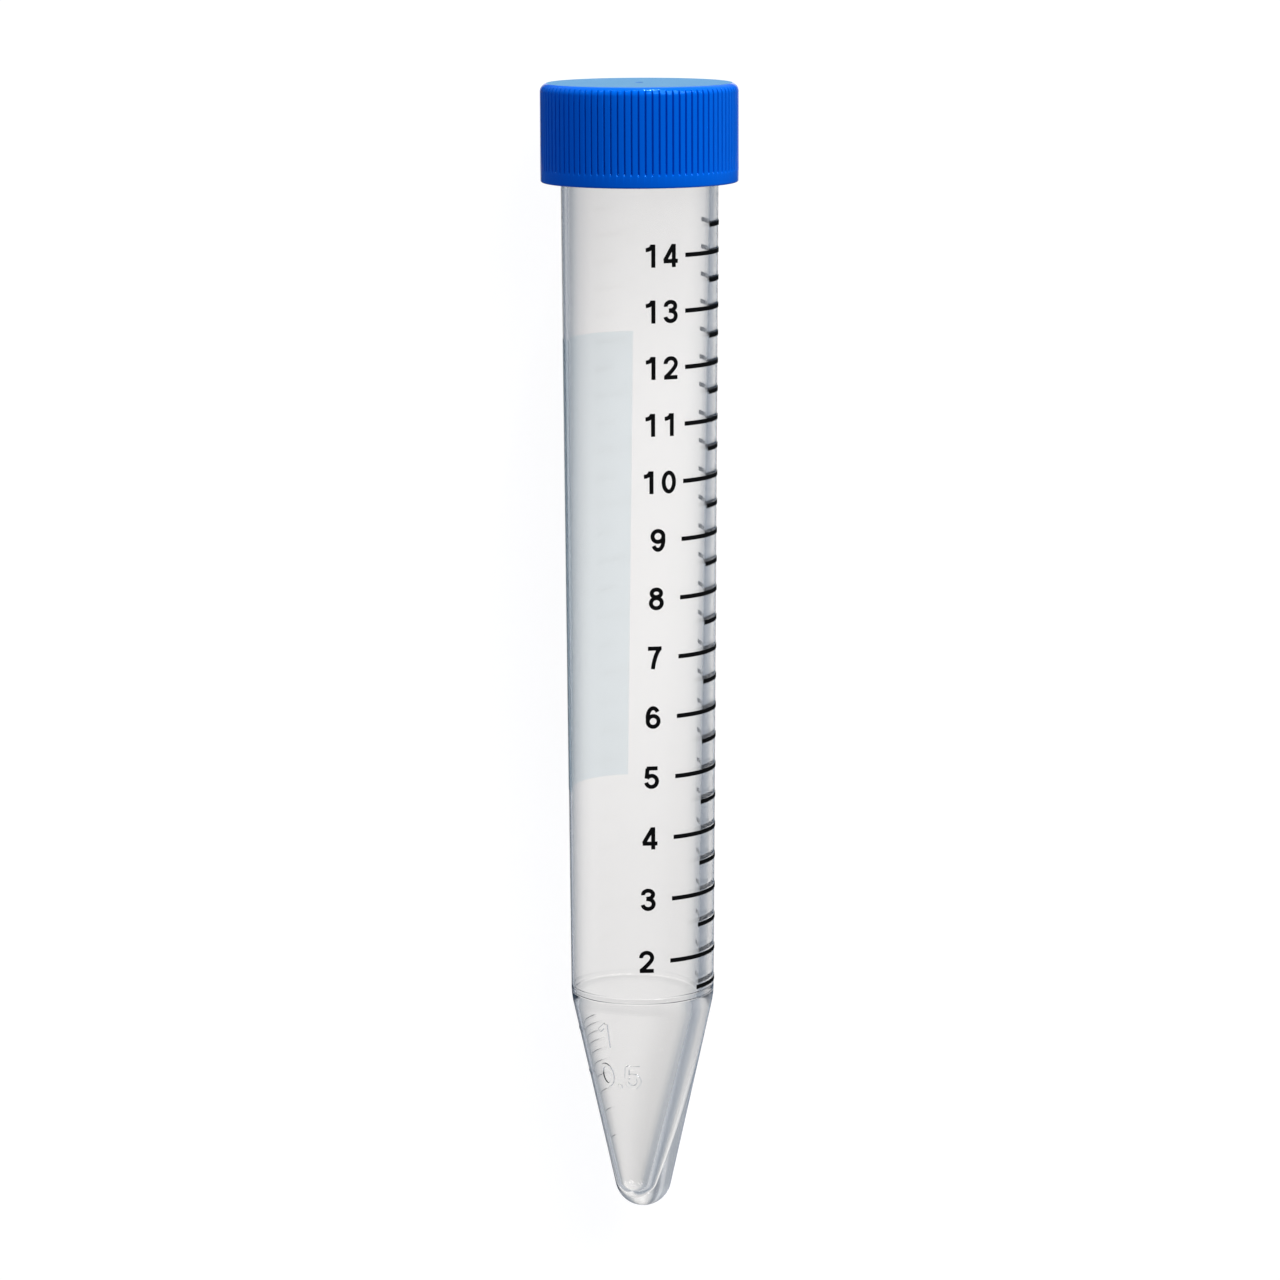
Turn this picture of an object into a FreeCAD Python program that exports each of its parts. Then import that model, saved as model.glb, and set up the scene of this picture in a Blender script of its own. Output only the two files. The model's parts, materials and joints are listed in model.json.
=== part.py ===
"""15 ml conical tube: an injection-moulded tube and its ribbed screw cap.

Both pieces are drawn upright, tip at the origin and the tube's axis along +Z, in millimetres.
At the end they are laid down together as a closed tube comes to rest on a bench: on the lower
rim of the cap and on the edge where the straight wall meets the cone, cap towards +Y.
"""
import FreeCAD, Part
import math
import os

Vector = FreeCAD.Vector

# ---- driving dimensions, mm ----
# The tube's outside
TUBE_LENGTH = 120.0          # tip to rim
TIP_RADIUS = 3.05            # ball end of the cone
JUNCTION_HEIGHT = 23.7       # where the cone's line and the wall's line cross
JUNCTION_RADIUS = 7.68
JUNCTION_FILLET = 9.0        # soft edge between cone and wall
WALL_DRAFT = 0.405           # degrees, the mould's taper on the long wall
RIM_CHAMFER = 0.2            # on the rim's outer edge

# The bore, left by a long core pin that leans a little under the moulding pressure
FLOOR_THICKNESS = 1.5        # plastic under the bore's round bottom
BORE_TIP_RADIUS = 1.6
BORE_JUNCTION_HEIGHT = 24.4
BORE_JUNCTION_RADIUS = 6.79
BORE_JUNCTION_FILLET = 2.5   # shows through the wall as a narrow ring
BORE_DRAFT = 0.44            # degrees
MOUTH_CHAMFER = 0.3          # lead-in for the cap's plug
CORE_LEAN = 0.315            # degrees, towards -X at the tip, nothing at the rim

# The cap
CAP_RADIUS = 10.4            # over the ribs
CAP_HEIGHT = 10.35
CAP_TOP = 1.42               # thickness of the top, above the tube's rim
CAP_EDGE_ROUND = 0.93        # between the side and the flat top
CAP_RIM_CHAMFER = 0.2        # on the lower edge
CAP_BAND = 1.25              # plain ring below the ribs
SKIRT_BORE = 9.25            # radius inside the skirt, at the roots of its thread
SKIRT_CHAMFER = 0.45         # lead-in at the skirt's mouth
SEAT_GAP = 0.08              # between the rim and the underside of the top

# The ring that plugs the tube's mouth
PLUG_DEPTH = 2.6
PLUG_WALL = 0.85
PLUG_CLEARANCE = 0.1         # to the bore, where the real one is a light press
PLUG_CHAMFER = 0.35

# The grip: grooves between the ribs, their sides in planes through the cap's axis
GROOVE_COUNT = 90
GROOVE_DEPTH = 0.26
GROOVE_WIDTH = 0.3           # at the cap's surface
GROOVE_RUNOUT = 0.3          # length of the slope at the groove's lower end

# The scar that the moulding gate leaves in the middle of the top
GATE_RADIUS = 0.43
GATE_DEPTH = 0.15

OVERCUT = 1.0                # how far a cutting shape stands outside what it cuts
SAME_POINT = 0.001           # corners nearer than this are one corner


# ---- sizes that follow ----
def tangent(degrees):
    return math.tan(math.radians(degrees))


CAP_BOTTOM = TUBE_LENGTH + SEAT_GAP + CAP_TOP - CAP_HEIGHT
CAP_END = CAP_BOTTOM + CAP_HEIGHT
UNDERSIDE = TUBE_LENGTH + SEAT_GAP
RIM_RADIUS = JUNCTION_RADIUS + (TUBE_LENGTH - JUNCTION_HEIGHT) * tangent(WALL_DRAFT)
MOUTH_RADIUS = BORE_JUNCTION_RADIUS + (TUBE_LENGTH - BORE_JUNCTION_HEIGHT) * tangent(BORE_DRAFT)
PLUG_RADIUS = MOUTH_RADIUS - PLUG_CLEARANCE - PLUG_DEPTH * tangent(BORE_DRAFT)


# ---- helpers ----
def at(radius, height):
    return Vector(radius, 0, height)


def outline(points):
    """Closed wire in the XZ plane: a pair is a corner, a four is an arc's middle, then its end."""
    edges = []
    here = at(*points[0])
    for step in points[1:] + [points[0]]:
        if len(step) == 2:
            there = at(*step)
            if here.distanceToPoint(there) > SAME_POINT:
                edges.append(Part.LineSegment(here, there).toShape())
        else:
            middle, there = at(*step[:2]), at(*step[2:])
            edges.append(Part.Arc(here, middle, there).toShape())
        here = there
    return Part.Wire(edges)


def turned(points):
    """Solid of revolution about the Z axis."""
    face = Part.Face(outline(points))
    return face.revolve(Vector(0, 0, 0), Vector(0, 0, 1), 360)


# ---- the tube ----
def ball_cone_wall(ball_radius, ball_foot, corner_radius, corner_height, fillet, draft_degrees):
    """Outline steps from the axis up: round end, cone, and a soft corner into the drafted wall.

    The fillet's ends lie at equal distances from the corner, along the cone and along the wall.
    """
    ball_height = ball_foot + ball_radius
    reach = math.hypot(corner_radius, corner_height - ball_height)
    slope_to_corner = math.atan2(corner_radius, corner_height - ball_height)
    cone = slope_to_corner - math.asin(ball_radius / reach)
    touch = math.pi / 2 - cone

    def on_ball(angle):
        return (ball_radius * math.sin(angle), ball_height - ball_radius * math.cos(angle))

    draft = math.radians(draft_degrees)
    setback = fillet * math.tan((cone - draft) / 2)
    below = (corner_radius - setback * math.sin(cone), corner_height - setback * math.cos(cone))
    above = (corner_radius + setback * math.sin(draft), corner_height + setback * math.cos(draft))
    centre = (above[0] - fillet * math.cos(draft), above[1] + fillet * math.sin(draft))
    mean = (cone + draft) / 2
    middle = (centre[0] + fillet * math.cos(mean), centre[1] - fillet * math.sin(mean))
    return [(0, ball_foot), on_ball(touch / 2) + on_ball(touch), below, middle + above]


def tube_outside():
    """Ball tip, cone, soft junction, drafted wall and bevelled rim."""
    return turned(
        ball_cone_wall(TIP_RADIUS, 0, JUNCTION_RADIUS, JUNCTION_HEIGHT, JUNCTION_FILLET, WALL_DRAFT)
        + [
            (RIM_RADIUS, TUBE_LENGTH - RIM_CHAMFER),
            (RIM_RADIUS - RIM_CHAMFER, TUBE_LENGTH),
            (0, TUBE_LENGTH),
        ]
    )


def tube_bore():
    """The core pin: round end, cone and drafted shank, leaning about the centre of the rim."""
    pin = turned(
        ball_cone_wall(BORE_TIP_RADIUS, FLOOR_THICKNESS, BORE_JUNCTION_RADIUS, BORE_JUNCTION_HEIGHT,
                       BORE_JUNCTION_FILLET, BORE_DRAFT)
        + [
            (MOUTH_RADIUS, TUBE_LENGTH - MOUTH_CHAMFER),
            (MOUTH_RADIUS + MOUTH_CHAMFER + OVERCUT, TUBE_LENGTH + OVERCUT),
            (0, TUBE_LENGTH + OVERCUT),
        ]
    )
    pin.rotate(Vector(0, 0, TUBE_LENGTH), Vector(0, 1, 0), CORE_LEAN)
    return pin


def tube():
    return tube_outside().cut(tube_bore())


# ---- the cap ----
def cap_blank():
    """The cap without its grip: top, skirt and the ring that plugs the tube."""
    plug_inside = PLUG_RADIUS - PLUG_WALL
    plug_foot = UNDERSIDE - PLUG_DEPTH
    # The ribs' ends are bevelled down to the grooves' floor, and only the rest of the edge is round.
    groove_end = math.asin(1 - GROOVE_DEPTH / CAP_EDGE_ROUND)
    return turned([
        (0, CAP_END - GATE_DEPTH),
        (GATE_RADIUS, CAP_END - GATE_DEPTH),
        (GATE_RADIUS, CAP_END),
        (CAP_RADIUS - CAP_EDGE_ROUND, CAP_END),
        on_top_edge(groove_end / 2) + on_top_edge(groove_end),
        on_top_edge(math.pi / 2),
        (CAP_RADIUS, CAP_BOTTOM + CAP_RIM_CHAMFER),
        (CAP_RADIUS - CAP_RIM_CHAMFER, CAP_BOTTOM),
        (SKIRT_BORE + SKIRT_CHAMFER, CAP_BOTTOM),
        (SKIRT_BORE, CAP_BOTTOM + SKIRT_CHAMFER),
        (SKIRT_BORE, UNDERSIDE),
        (PLUG_RADIUS, UNDERSIDE),
        (PLUG_RADIUS, plug_foot + PLUG_CHAMFER),
        (PLUG_RADIUS - PLUG_CHAMFER, plug_foot),
        (plug_inside, plug_foot),
        (plug_inside, UNDERSIDE),
        (0, UNDERSIDE),
    ])


def on_top_edge(angle):
    """Point of the round between top and side, at an angle from the end of the flat top."""
    across = CAP_EDGE_ROUND * math.sin(angle)
    up = CAP_EDGE_ROUND * math.cos(angle)
    return (CAP_RADIUS - CAP_EDGE_ROUND + across, CAP_END - CAP_EDGE_ROUND + up)


def groove_cutter():
    """One groove's wedge: radial sides, a flat floor, open at the top, sloped at its lower end."""
    def rectangle(radius, foot):
        half = GROOVE_WIDTH / 2 * radius / CAP_RADIUS
        head = CAP_END + OVERCUT
        corners = [(-half, foot), (half, foot), (half, head), (-half, head)]
        return [Vector(radius, across, height) for across, height in corners]

    # The slope is carried on outside the surface, as steep as it is in the groove.
    slope_outside = GROOVE_RUNOUT * OVERCUT / GROOVE_DEPTH
    slope_foot = CAP_BOTTOM + CAP_BAND
    floor = rectangle(CAP_RADIUS - GROOVE_DEPTH, slope_foot + GROOVE_RUNOUT)
    outside = rectangle(CAP_RADIUS + OVERCUT, slope_foot - slope_outside)
    rings = [floor, outside]
    for here, corner in enumerate(floor):
        after = (here + 1) % len(floor)
        rings.append([corner, floor[after], outside[after], outside[here]])
    return Part.Solid(Part.Shell([Part.Face(Part.makePolygon(ring + ring[:1])) for ring in rings]))


def screw_cap():
    cutter = groove_cutter()
    cutters = []
    for index in range(GROOVE_COUNT):
        groove = cutter.copy()
        groove.rotate(Vector(0, 0, 0), Vector(0, 0, 1), index * 360 / GROOVE_COUNT)
        cutters.append(groove)
    return cap_blank().cut(Part.makeCompound(cutters))


# ---- at rest on the bench ----
def resting_place():
    """Turn the closed tube on to its side, with the origin under the middle of its box.

    The closed tube leans on two circles: the cap's lower rim and the junction's edge.
    """
    lean = math.atan2(CAP_RADIUS - JUNCTION_RADIUS, CAP_BOTTOM - JUNCTION_HEIGHT)
    cap_contact = CAP_BOTTOM + CAP_RIM_CHAMFER
    floor = cap_contact * math.sin(lean) - CAP_RADIUS * math.cos(lean)
    tip_end = TIP_RADIUS * math.cos(lean) - TIP_RADIUS
    top_centre = CAP_END - CAP_EDGE_ROUND
    top_end = top_centre * math.cos(lean) + (CAP_RADIUS - CAP_EDGE_ROUND) * math.sin(lean) + CAP_EDGE_ROUND
    turn = FreeCAD.Rotation(Vector(1, 0, 0), math.degrees(lean) - 90)
    return FreeCAD.Placement(Vector(0, -(tip_end + top_end) / 2, -floor), turn)


def main():
    os.makedirs("parts", exist_ok=True)
    place = resting_place()
    print("row frame: axis", place.Rotation.multVec(Vector(0, 0, 1)), "tip centre", place.Base)
    for name, solid in (("tube", tube()), ("screw_cap", screw_cap())):
        solid.Placement = place.multiply(solid.Placement)
        print(name, "valid", solid.isValid(), "solids", len(solid.Solids), "volume", round(solid.Volume, 1))
        solid.exportStep("parts/" + name + ".step")


main()
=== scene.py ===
# %% [markdown]
# # A 15 ml conical tube with its screw cap
# The object is two mouldings: a clear polypropylene tube and a blue screw cap.
# A black scale and a white writing patch are printed on the tube.
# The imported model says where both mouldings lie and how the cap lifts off.
# Everything here is drawn upright, with the tube's tip at the origin, because a turned shape is easiest to
# draw round an upright axis. It is laid down on the bench when it is finished.

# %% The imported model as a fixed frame
import json
import math

import bmesh
import bpy
from mathutils import Matrix, Vector


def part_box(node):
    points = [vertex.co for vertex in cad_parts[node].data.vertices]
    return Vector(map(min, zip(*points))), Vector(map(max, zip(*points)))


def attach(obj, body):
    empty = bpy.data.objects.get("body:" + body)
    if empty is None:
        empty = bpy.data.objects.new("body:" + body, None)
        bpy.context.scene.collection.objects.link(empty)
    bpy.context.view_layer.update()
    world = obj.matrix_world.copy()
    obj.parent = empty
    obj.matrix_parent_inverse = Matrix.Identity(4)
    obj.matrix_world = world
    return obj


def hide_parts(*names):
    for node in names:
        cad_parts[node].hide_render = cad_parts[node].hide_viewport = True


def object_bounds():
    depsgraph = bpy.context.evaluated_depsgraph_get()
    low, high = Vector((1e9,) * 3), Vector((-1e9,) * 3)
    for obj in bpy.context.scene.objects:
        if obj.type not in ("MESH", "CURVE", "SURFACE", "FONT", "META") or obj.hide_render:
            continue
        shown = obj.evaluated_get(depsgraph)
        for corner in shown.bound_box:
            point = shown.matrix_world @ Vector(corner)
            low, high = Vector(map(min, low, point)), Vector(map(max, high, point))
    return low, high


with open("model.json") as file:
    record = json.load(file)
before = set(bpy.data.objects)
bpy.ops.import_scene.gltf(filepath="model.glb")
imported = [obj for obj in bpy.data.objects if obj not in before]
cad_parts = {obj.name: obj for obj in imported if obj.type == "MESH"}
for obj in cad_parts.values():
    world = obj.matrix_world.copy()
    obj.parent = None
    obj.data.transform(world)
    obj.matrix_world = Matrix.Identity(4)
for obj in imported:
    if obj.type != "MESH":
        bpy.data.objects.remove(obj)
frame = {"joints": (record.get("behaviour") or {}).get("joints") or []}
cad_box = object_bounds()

MM = 0.001
print("CAD box, mm:", [[round(value / MM, 2) for value in corner] for corner in cad_box])

# %% [markdown]
# ## Where the tube lies
# A closed tube lies on the lower rim of its cap and on the edge above its cone, so its axis rises a little.
# The lift joint gives the axis, and the boxes of the two mouldings give the tip.
# One matrix then takes any upright drawing to its place on the bench.

# %% The place of the tube
TUBE_LENGTH = 120.0 * MM
CAP_RADIUS = 10.4 * MM
CAP_HEIGHT = 10.35 * MM
CAP_END = TUBE_LENGTH + 1.5 * MM
CAP_BOTTOM = CAP_END - CAP_HEIGHT
CAP_CHAMFER = 0.2 * MM
TIP_RADIUS = 3.05 * MM

lean = math.asin(frame["joints"][0]["axis"][2])
tip_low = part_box("tube")[0]
cap_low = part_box("screw_cap")[0]
tip = Vector((
    0,
    tip_low.y + TIP_RADIUS * (1 - math.cos(lean)),
    cap_low.z + CAP_RADIUS * math.cos(lean) - (CAP_BOTTOM + CAP_CHAMFER) * math.sin(lean),
))
PLACE = Matrix.Translation(tip) @ Matrix.Rotation(lean - math.pi / 2, 4, "X")
print("tip, mm:", [round(value / MM, 3) for value in tip], "lean:", round(math.degrees(lean), 3))

# %% [markdown]
# ## Drawing by hand, in code
# A turned shape starts as one point. The point is extruded along straight lines and spun along arcs until it
# is half of the section, and the half section is spun round the axis.
# That gives clean rings of four-sided faces, which clear plastic needs: light bends at every uneven normal.
# A lathe (the Screw modifier) would do the same, but has to be applied. Spin makes its points at once.

# %% Helpers that draw a half section
def start_point(name, point):
    """A new mesh of one point, in edit mode, with the point selected."""
    bpy.ops.object.select_all(action="DESELECT")
    bpy.ops.mesh.primitive_plane_add(size=MM)
    bpy.context.object.name = name
    bpy.ops.object.mode_set(mode="EDIT")
    bpy.ops.mesh.merge(type="CENTER")
    bpy.ops.transform.translate(value=point)
    return bpy.context.object


def last_point():
    """Where the drawing has come to."""
    mesh = bmesh.from_edit_mesh(bpy.context.object.data)
    return next(vertex.co.copy() for vertex in mesh.verts if vertex.select)


def line_to(radius, height, parts=1):
    """Extrudes the last point to a radius and a height, in equal parts."""
    step = (Vector((radius, 0, height)) - last_point()) / parts
    for part in range(parts):
        bpy.ops.mesh.extrude_vertices_move(TRANSFORM_OT_translate={"value": step})


def arc_about(radius, height, degrees, steps):
    """Spins the last point about a centre, turning left as it goes where degrees is positive."""
    bpy.ops.mesh.spin(
        steps=steps, angle=math.radians(degrees), center=(radius, 0, height), axis=(0, 1, 0)
    )


def spin_round(steps, degrees=360):
    """Spins all that is drawn about the tube's axis, from the front towards the right."""
    bpy.ops.mesh.select_all(action="SELECT")
    bpy.ops.mesh.spin(steps=steps, angle=math.radians(degrees), center=(0, 0, 0), axis=(0, 0, -1))


SAME = 0.0005 * MM


def close_up():
    """Merges what coincides, turns all faces outwards and leaves edit mode."""
    bpy.ops.mesh.select_all(action="SELECT")
    bpy.ops.mesh.remove_doubles(threshold=SAME)
    bpy.ops.mesh.normals_make_consistent(inside=False)
    bpy.ops.object.mode_set(mode="OBJECT")


# %% [markdown]
# ## The wall's outlines
# The outside and the bore have the same kind of outline: a round end, a cone, a soft corner and a long wall
# that opens a little, so that the moulding comes off its core.
# Both are worked out from a few sizes, and the bore's outline is used again to place the volume scale.
# The outside was measured against the tube's length. The bore can't be measured through the wall: its corner
# radius and its draft were fitted until it held the volumes that the real tube's marks say.

# %% The outline of the outside and of the bore
class Outline:
    """Round end, cone, soft corner and drafted wall, all from a few sizes."""

    def __init__(self, ball_radius, ball_foot, corner_radius, corner_height, draft_degrees):
        self.ball_radius = ball_radius
        self.foot = ball_foot
        self.ball_height = ball_foot + ball_radius
        self.corner_radius = corner_radius
        self.corner_height = corner_height
        self.draft = math.radians(draft_degrees)
        rise = corner_height - self.ball_height
        reach = math.hypot(corner_radius, rise)
        self.cone = math.atan2(corner_radius, rise) - math.asin(ball_radius / reach)
        self.touch_height = self.ball_height - ball_radius * math.sin(self.cone)

    def radius(self, height):
        """The outline's radius at a height, with a sharp corner."""
        if height < self.touch_height:
            return math.sqrt(max(0, self.ball_radius**2 - (height - self.ball_height) ** 2))
        slope = self.cone if height < self.corner_height else self.draft
        return self.corner_radius + (height - self.corner_height) * math.tan(slope)

    def draw_ball(self, name, steps):
        """Starts the half section on the axis and draws its round end."""
        piece = start_point(name, (0, 0, self.foot))
        arc_about(0, self.ball_height, 90 - math.degrees(self.cone), steps)
        return piece

    def draw_cone_and_corner(self, fillet, cone_parts, fillet_steps):
        """Draws the cone and the soft corner into the wall."""
        setback = fillet * math.tan((self.cone - self.draft) / 2)
        line_to(
            self.corner_radius - setback * math.sin(self.cone),
            self.corner_height - setback * math.cos(self.cone),
            cone_parts,
        )
        end = last_point()
        arc_about(
            end.x - fillet * math.cos(self.cone),
            end.z + fillet * math.sin(self.cone),
            math.degrees(self.cone - self.draft),
            fillet_steps,
        )


# %% The two outlines
outside = Outline(
    ball_radius=TIP_RADIUS, ball_foot=0, corner_radius=7.68 * MM, corner_height=23.7 * MM,
    draft_degrees=0.405,
)
bore = Outline(
    ball_radius=1.6 * MM, ball_foot=1.5 * MM, corner_radius=6.79 * MM, corner_height=24.4 * MM,
    draft_degrees=0.44,
)
RIM_RADIUS = outside.radius(TUBE_LENGTH)
MOUTH_RADIUS = bore.radius(TUBE_LENGTH)
print("rim and mouth radius, mm:", round(RIM_RADIUS / MM, 3), round(MOUTH_RADIUS / MM, 3))

# %% [markdown]
# ## The tube's outside
# The outside of the tube is what the mould's cavity leaves: a round tip, a cone, a soft corner, a long wall
# and a rounded rim. It could be a cylinder pushed into shape, but its rings would then be uneven.
# Drawn as a half section and spun, every ring lies just where the outline needs it.

# %% The outside skin
ROUND = 256
RIM_ROUND = 0.25 * MM
tube_body = outside.draw_ball("tube_body", steps=18)
outside.draw_cone_and_corner(fillet=9 * MM, cone_parts=18, fillet_steps=10)
line_to(RIM_RADIUS, TUBE_LENGTH - RIM_ROUND, parts=48)
arc_about(RIM_RADIUS - RIM_ROUND, TUBE_LENGTH - RIM_ROUND, 90, 8)
spin_round(ROUND)
close_up()
print("faces of the outside:", len(tube_body.data.polygons))

# %% [markdown]
# ## The bore
# The bore is what the mould's core pin leaves. It ends in a small ball above the tip, and at the mouth in a
# small chamfer. The pin leans a little, so the wall of the cone is thicker on one side.
# Where the cone begins the moulding has two faint rings. They look like witness lines of a pin in two parts.
# One section can't lean within the other, so the bore is a second skin, turned about the rim after spinning.

# %% The bore's skin
CORE_LEAN = math.radians(0.315)
MOUTH_CHAMFER = 0.3 * MM
WITNESS_HEIGHTS = (24.12 * MM, 24.74 * MM)
CONE_END = WITNESS_HEIGHTS[0] - 0.2 * MM
# The section of a ring, in millimetres: up, and in towards the axis.
WITNESS_STEPS = ((-0.08, 0), (-0.04, 0.018), (0, 0.026), (0.04, 0.018), (0.08, 0))
bore_skin = bore.draw_ball("bore_skin", steps=14)
line_to(bore.radius(CONE_END), CONE_END, parts=18)
for height in WITNESS_HEIGHTS:
    for up, inward in WITNESS_STEPS:
        line_to(bore.radius(height + up * MM) - inward * MM, height + up * MM)
line_to(MOUTH_RADIUS, TUBE_LENGTH - MOUTH_CHAMFER, parts=48)
line_to(MOUTH_RADIUS + MOUTH_CHAMFER, TUBE_LENGTH)
spin_round(ROUND)
bpy.ops.mesh.select_all(action="SELECT")
bpy.ops.transform.rotate(value=-CORE_LEAN, orient_axis="Y", center_override=(0, 0, TUBE_LENGTH))
close_up()
lowest = min(bore_skin.data.vertices, key=lambda vertex: vertex.co.z)
print("bore's tip, mm:", [round(value / MM, 3) for value in lowest.co])

# %% [markdown]
# ## The rim
# The flat of the rim closes the wall between the two skins. A Solidify modifier could give a wall, but one of
# the same thickness everywhere. Here both skins are drawn, and the two open edges are bridged.

# %% The rim joins the skins
bpy.ops.object.select_all(action="DESELECT")
bore_skin.select_set(True)
tube_body.select_set(True)
bpy.context.view_layer.objects.active = tube_body
bpy.ops.object.join()
bpy.ops.object.mode_set(mode="EDIT")
bpy.ops.mesh.select_mode(type="EDGE")
bpy.ops.mesh.select_all(action="DESELECT")
bpy.ops.mesh.select_non_manifold()
bpy.ops.mesh.bridge_edge_loops()
bpy.ops.mesh.select_mode(type="VERT")
close_up()
print("tube faces:", len(tube_body.data.polygons))


# %% [markdown]
# ## Joining by Boolean
# Ridges that are moulded with the wall have to be one skin with it: a ridge that only pokes into clear
# plastic would show its hidden half. The Boolean modifier's union takes the hidden faces away.

# %% Helpers for modifiers
def only(piece):
    """Makes one piece the selected and active one."""
    bpy.ops.object.select_all(action="DESELECT")
    piece.select_set(True)
    bpy.context.view_layer.objects.active = piece


def modify(piece, kind, **settings):
    """Adds a modifier, sets it and applies it."""
    only(piece)
    modifier = piece.modifiers.new(kind.title(), kind)
    for name, value in settings.items():
        setattr(modifier, name, value)
    bpy.ops.object.modifier_apply(modifier=modifier.name)


def union(piece, other):
    """Joins other to piece as one skin, and removes it."""
    modify(piece, "BOOLEAN", operation="UNION", solver="MANIFOLD", object=other)
    bpy.data.objects.remove(other)


def lay_down(piece):
    """Takes an upright piece to its place on the bench."""
    piece.data.transform(PLACE)
    piece.data.update()


# %% [markdown]
# ## The volume scale
# A scale on such a tube is worked out from its bore: each mark stands where the bore below it holds its
# volume.
# The bore's volume is added up in thin slices, and the height of a volume is read between two slices.
# As this bore was fitted to the marks, their agreement with it is no proof of the tube's size.

# %% Heights of the marks
SLICE = 0.05 * MM
ML = 1e-6
bore_volume = [0.0]
while bore.foot + SLICE * len(bore_volume) < TUBE_LENGTH:
    middle = bore.foot + SLICE * (len(bore_volume) - 0.5)
    bore_volume.append(bore_volume[-1] + math.pi * bore.radius(middle) ** 2 * SLICE)


def mark_height(volume_ml):
    """Height above the tip at which the bore holds a volume."""
    below = sum(1 for held in bore_volume if held < volume_ml * ML)
    part = (volume_ml * ML - bore_volume[below - 1]) / (bore_volume[below] - bore_volume[below - 1])
    return bore.foot + (below - 1 + part) * SLICE


print("marks at 2, 8 and 14 ml, mm:", [round(mark_height(v) / MM, 2) for v in (2, 8, 14)])

# %% [markdown]
# ## Figures drawn with a pen
# The figures are a plain bold grotesque. Each is drawn as a pen would draw it, with a few straight and round
# strokes in a box one unit high, so the print and the moulded figures can share them at any size.
# Where strokes meet they overlap, and a figure is the union of its strokes.

# %% Strokes of the ten figures
def bow(centre_x, centre_z, half_width, half_height, start, end, steps=24):
    """Points along part of an ellipse, from one angle to another."""
    angles = [math.radians(start + (end - start) * step / steps) for step in range(steps + 1)]
    return [(centre_x + half_width * math.cos(a), centre_z + half_height * math.sin(a)) for a in angles]


def sweep(start, pull, end, steps=12):
    """Points along a bend from start to end, drawn towards pull on the way."""
    shares = [step / steps for step in range(steps + 1)]
    return [
        tuple((1 - t) ** 2 * a + 2 * t * (1 - t) * b + t * t * c for a, b, c in zip(start, pull, end))
        for t in shares
    ]


SIX = [
    bow(0.375, 0.5, 0.2425, 0.415, 36, 200),
    bow(0.375, 0.325, 0.2425, 0.24, 0, 360),
]
FIGURES = {
    "0": [bow(0.375, 0.5, 0.2425, 0.415, 0, 360)],
    "1": [[(0.44, 0), (0.44, 1)], sweep((0.11, 0.765), (0.34, 0.765), (0.40, 0.98))],
    "2": [
        bow(0.375, 0.69, 0.2425, 0.225, 184, -18) + sweep((0.60, 0.60), (0.54, 0.46), (0.15, 0.11)),
        [(0.065, 0.085), (0.69, 0.085)],
    ],
    "3": [
        bow(0.365, 0.735, 0.222, 0.18, 188, -90) + [(0.29, 0.54)],
        [(0.29, 0.54)] + bow(0.37, 0.305, 0.2425, 0.22, 90, -172),
    ],
    "4": [[(0.52, 0), (0.52, 1)], [(0.05, 0.265), (0.71, 0.265)], [(0.10, 0.285), (0.50, 0.965)]],
    "5": [
        [(0.16, 0.915), (0.645, 0.915)],
        [(0.20, 0.915), (0.155, 0.46)],
        bow(0.375, 0.334, 0.2425, 0.249, 148, -168),
    ],
    "6": SIX,
    "7": [[(0.075, 0.915), (0.68, 0.915)], sweep((0.60, 0.915), (0.36, 0.60), (0.29, 0))],
    "8": [bow(0.375, 0.745, 0.208, 0.17, 0, 360), bow(0.375, 0.31, 0.2425, 0.225, 0, 360)],
    "9": [[(0.75 - x, 1 - z) for x, z in stroke] for stroke in SIX],
    ".": [[(0.055, 0), (0.055, 0.15)]],
}
MOULDED_FIGURES = dict(FIGURES)
MOULDED_FIGURES["1"] = [[(0.44, 0), (0.44, 1)], [(0.44, 0.99), (0.13, 0.70)]]
ADVANCE = 0.85
POINT_ADVANCE = 0.2
print("figures drawn:", " ".join(FIGURES))

# %% [markdown]
# ## From strokes to a solid figure
# Each stroke is a flat curve, bevelled with a small closed curve that is the nib, and made a mesh.
# Text in a font would be quicker, but a script that stands alone has only one font, and its shapes differ.
# With a nib, the flat ink and the sloping sides of a moulded figure come from the same strokes.


# %% A stroke and a figure
def stroke_solid(points, nib_corners):
    """A closed bar that follows the points, facing up, with the nib's section."""
    closed = math.dist(points[0], points[-1]) < 1e-6
    path = bpy.data.curves.new("stroke", "CURVE")
    path.dimensions = "2D"
    spline = path.splines.new("POLY")
    spline.points.add(len(points) - (2 if closed else 1))
    for spot, point in zip(spline.points, points):
        spot.co = (point[0], point[1], 0, 1)
    spline.use_cyclic_u = closed
    nib = bpy.data.curves.new("nib", "CURVE")
    nib.dimensions = "2D"
    corners = nib.splines.new("POLY")
    corners.points.add(len(nib_corners) - 1)
    for spot, (across, up) in zip(corners.points, nib_corners):
        spot.co = (across, up, 0, 1)
    corners.use_cyclic_u = True
    nib_object = bpy.data.objects.new("nib", nib)
    path.bevel_mode = "OBJECT"
    path.bevel_object = nib_object
    path.use_fill_caps = True
    bar = bpy.data.objects.new("stroke", path)
    bpy.context.scene.collection.objects.link(bar)
    only(bar)
    bpy.ops.object.convert(target="MESH")
    bpy.ops.object.mode_set(mode="EDIT")
    close_up()
    bpy.data.objects.remove(nib_object)
    return bpy.context.object


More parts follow.
